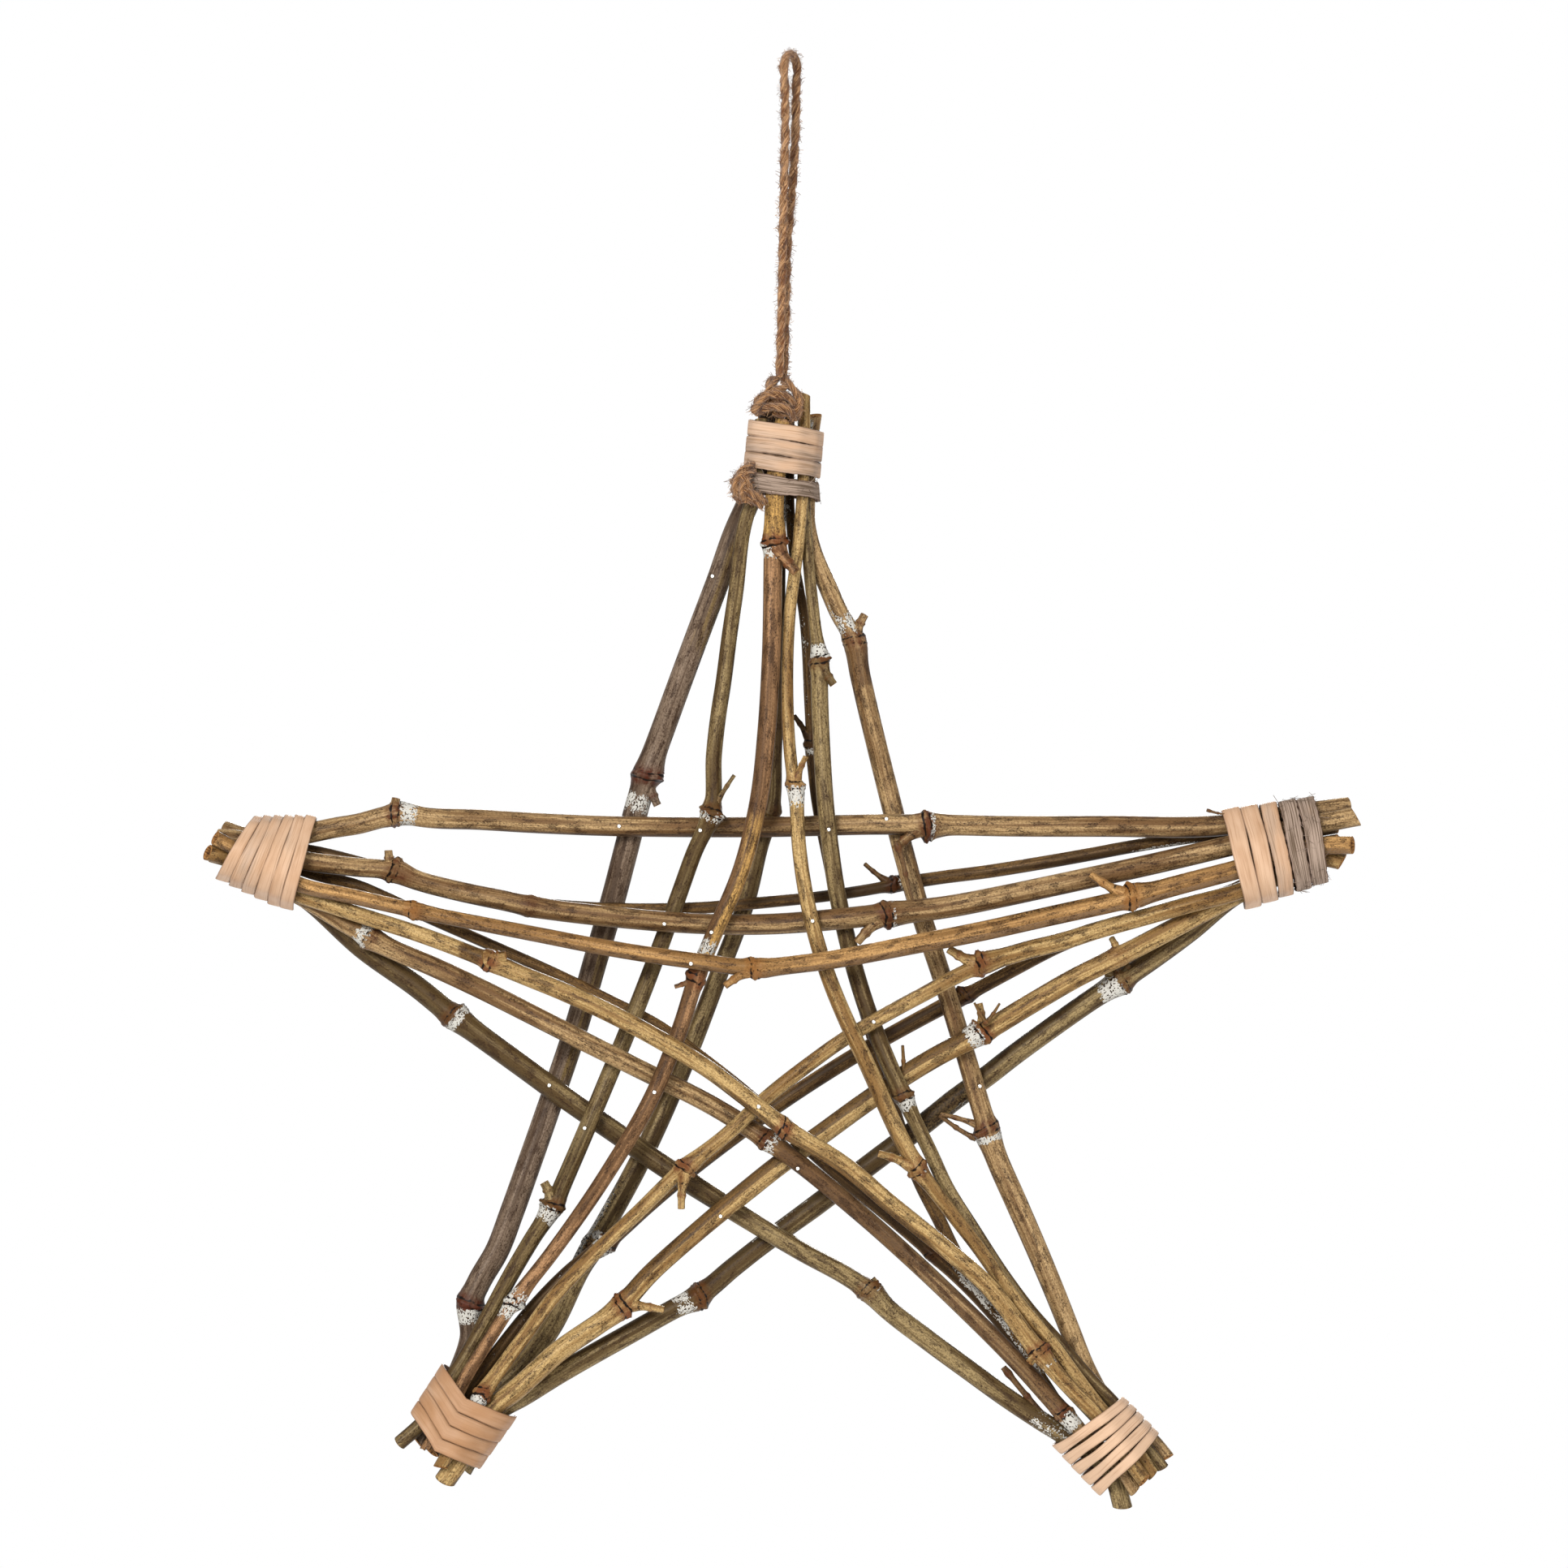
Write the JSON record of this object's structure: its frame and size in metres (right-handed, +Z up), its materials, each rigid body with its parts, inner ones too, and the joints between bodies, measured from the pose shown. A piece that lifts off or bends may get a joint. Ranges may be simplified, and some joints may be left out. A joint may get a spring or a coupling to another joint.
{
  "type": "hanging star ornament",
  "caption": "Five-pointed hanging star of bundled bamboo stalks, bound at its tips with cane strip, pinned where the stalks cross, with a knotted twine loop to hang it by.",
  "frame": {"origin": "the inside of the top of the twine loop, where a hook or nail carries the star", "axes": "+Z up, -Y out of the front of the star towards the viewer, +X to the viewer's right"},
  "size_m": [0.401, 0.0431, 0.5086],
  "materials": {
    "bamboo": "dry natural bamboo shoots, satin, with joints and waxy bloom",
    "cane_strip": "split cane strip, satin",
    "twine": "two-ply jute twine, matte and hairy",
    "steel": "bright brad nails"
  },
  "bodies": {
    "root": {"brad_arms_left_inner": "steel", "brad_arms_left_outer": "steel", "brad_arms_right_inner": "steel", "brad_arms_right_outer": "steel", "brad_falling_low": "steel", "brad_falling_middle": "steel", "brad_falling_outer": "steel", "brad_left_leg_foot": "steel", "brad_left_leg_inner": "steel", "brad_left_leg_low": "steel", "brad_left_leg_middle": "steel", "brad_left_leg_outer": "steel", "brad_left_leg_top": "steel", "brad_right_leg_low": "steel", "brad_right_leg_middle": "steel", "brad_rising_low": "steel", "brad_rising_top": "steel", "side_knot": "twine", "stalk_arms_back": "bamboo", "stalk_arms_front": "bamboo", "stalk_arms_second": "bamboo", "stalk_arms_third": "bamboo", "stalk_falling_back": "bamboo", "stalk_falling_front": "bamboo", "stalk_falling_second": "bamboo", "stalk_falling_third": "bamboo", "stalk_left_leg_back": "bamboo", "stalk_left_leg_front": "bamboo", "stalk_left_leg_second": "bamboo", "stalk_left_leg_third": "bamboo", "stalk_right_leg_back": "bamboo", "stalk_right_leg_front": "bamboo", "stalk_right_leg_second": "bamboo", "stalk_right_leg_third": "bamboo", "stalk_rising_back": "bamboo", "stalk_rising_front": "bamboo", "stalk_rising_second": "bamboo", "stalk_rising_third": "bamboo", "top_knot": "twine", "twine_loop": "twine", "wrap_left": "cane_strip", "wrap_left_foot": "cane_strip", "wrap_right": "cane_strip", "wrap_right_foot": "cane_strip", "wrap_top": "cane_strip", "wrap_top_lower": "cane_strip"}
  },
  "joints": []
}
